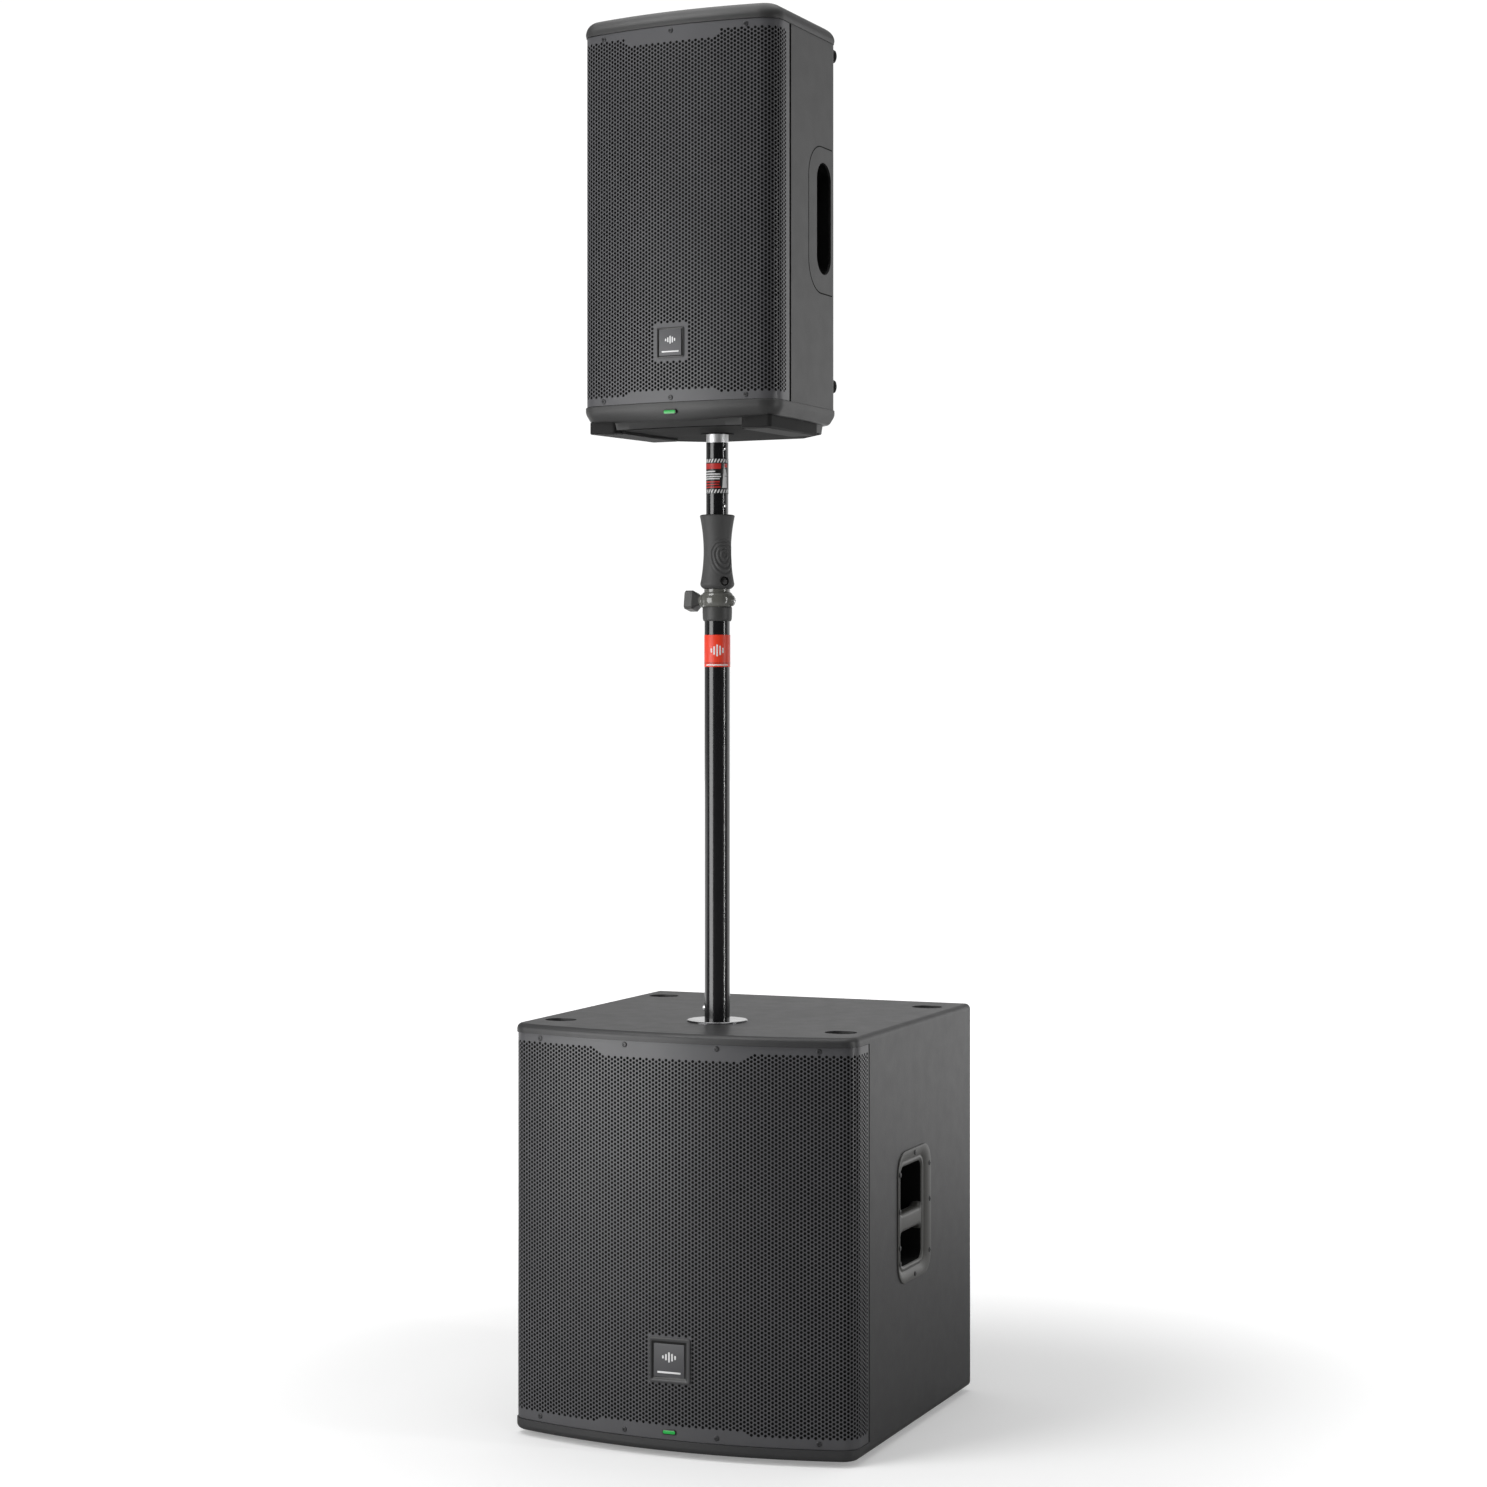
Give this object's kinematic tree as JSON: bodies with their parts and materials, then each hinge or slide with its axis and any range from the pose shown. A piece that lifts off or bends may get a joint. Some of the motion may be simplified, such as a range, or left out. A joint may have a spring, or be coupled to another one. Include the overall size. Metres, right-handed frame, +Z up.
{
  "type": "powered speaker on a subwoofer pole",
  "caption": "Powered loudspeaker on a telescopic pole screwed into a powered subwoofer, with perforated wrap-round grilles, side handles and rear amplifier panels.",
  "frame": {"origin": "on the floor under the middle of the subwoofer", "axes": "+Z up, the grilles face -Y, +X to the right of a listener who faces the grilles"},
  "size_m": [0.5764, 0.5981, 2.196],
  "materials": {
    "cabinet_paint": "satin textured black paint",
    "moulded_shell": "fine textured black",
    "grille_coat": "satin powder coat",
    "acoustic_foam": "open cell",
    "badge_trim": "satin frame round a gloss plate",
    "status_light": "lit green",
    "screw_black": "black oxide",
    "handle_plastic": "grained",
    "rubber_black": "matte",
    "polished_metal": "polished",
    "pole_gloss": "gloss black",
    "collar_gloss": "gloss dark grey",
    "knob_plastic": "matte",
    "grip_rubber": "soft touch",
    "driver_frame": "die cast",
    "driver_magnet": "black",
    "driver_suspension": "treated cloth",
    "driver_cone": "pressed fibre",
    "amp_plate_coat": "black anodised",
    "amp_metal": "extruded",
    "socket_black": "moulded",
    "bright_steel": "ground"
  },
  "bodies": {
    "root": {"sub_top_panel": "cabinet_paint", "sub_bottom_panel": "cabinet_paint", "sub_left_panel": "cabinet_paint", "sub_right_panel": "cabinet_paint", "sub_back_panel": "cabinet_paint", "sub_baffle": "cabinet_paint", "sub_grille": "grille_coat", "sub_grille_foam": "acoustic_foam", "sub_badge": "badge_trim", "sub_status_window": "status_light", "sub_left_handle": "handle_plastic", "sub_right_handle": "handle_plastic", "sub_screws": "screw_black", "sub_feet": "rubber_black", "sub_pole_socket": "polished_metal", "sub_woofer_frame": "driver_frame", "sub_woofer_magnet": "driver_magnet", "sub_woofer_suspension": "driver_suspension", "sub_port_tubes": "moulded_shell", "sub_amp_plate": "amp_plate_coat", "sub_amp_module": "amp_metal", "sub_signal_sockets": "socket_black", "sub_mains_inlet": "socket_black", "pole_lower_tube": "pole_gloss", "pole_stud": "bright_steel", "pole_set_screw": "bright_steel", "pole_collar": "collar_gloss", "pole_gas_cylinder": "pole_gloss"},
    "sub_cone": {"sub_woofer_cone": "driver_cone"},
    "sub_rocker": {"sub_mains_rocker": "socket_black"},
    "sub_knob": {"sub_level_knob": "knob_plastic"},
    "head_cone": {"head_woofer_cone": "driver_cone"},
    "head_rocker": {"head_mains_rocker": "socket_black"},
    "head_knob": {"head_level_knob": "knob_plastic"},
    "clamp_knob": {"pole_clamp_knob": "knob_plastic"},
    "mast": {"pole_upper_tube": "pole_gloss", "pole_grip": "grip_rubber", "pole_spigot": "polished_metal", "pole_gas_rod": "bright_steel"},
    "speaker_head": {"head_cabinet": "moulded_shell", "head_top_cap": "moulded_shell", "head_bottom_cap": "moulded_shell", "head_baffle": "moulded_shell", "head_horn": "moulded_shell", "head_grille": "grille_coat", "head_grille_foam": "acoustic_foam", "head_badge": "badge_trim", "head_status_window": "status_light", "head_screws": "screw_black", "head_rubber_feet": "rubber_black", "head_pole_socket": "handle_plastic", "head_handle_cups": "handle_plastic", "head_woofer_frame": "driver_frame", "head_woofer_magnet": "driver_magnet", "head_woofer_suspension": "driver_suspension", "head_compression_driver": "driver_magnet", "head_amp_plate": "amp_plate_coat", "head_amp_module": "amp_metal", "head_signal_sockets": "socket_black", "head_mains_inlet": "socket_black"}
  },
  "joints": [
    {"name": "pole_extend", "type": "slide", "parent": "root", "child": "mast", "axis": [0, 0, 1], "range_m": [0, 0.5]},
    {"name": "head_swivel", "type": "hinge", "parent": "mast", "child": "speaker_head", "pos_m": [0, -0.1097, 1.559], "axis": [0, 0, 1], "continuous": true},
    {"name": "clamp_turn", "type": "hinge", "parent": "root", "child": "clamp_knob", "pos_m": [-0.029, -0.1097, 1.298], "axis": [-1, 0, 0], "range_deg": [0, 360]},
    {"name": "sub_cone_travel", "type": "slide", "parent": "root", "child": "sub_cone", "axis": [0, -1, 0], "range_m": [-0.008, 0.008], "stiffness_N_per_m": 6000},
    {"name": "head_cone_travel", "type": "slide", "parent": "speaker_head", "child": "head_cone", "axis": [-0.0958, -0.9954, 0], "range_m": [-0.004, 0.004], "stiffness_N_per_m": 3000},
    {"name": "sub_power_rock", "type": "hinge", "parent": "root", "child": "sub_rocker", "pos_m": [-0.055, 0.28705, 0.188], "axis": [1, 0, 0], "range_deg": [-16, 0]},
    {"name": "head_power_rock", "type": "hinge", "parent": "speaker_head", "child": "head_rocker", "pos_m": [0.00041, 0.0511, 1.734], "axis": [0.9954, -0.0958, 0], "range_deg": [-16, 0]},
    {"name": "sub_level_turn", "type": "hinge", "parent": "root", "child": "sub_knob", "pos_m": [0.06, 0.29, 0.4], "axis": [0, 1, 0], "continuous": true},
    {"name": "head_level_turn", "type": "hinge", "parent": "speaker_head", "child": "head_knob", "pos_m": [0.05146, 0.04915, 1.905], "axis": [0.0958, 0.9954, 0], "continuous": true}
  ]
}
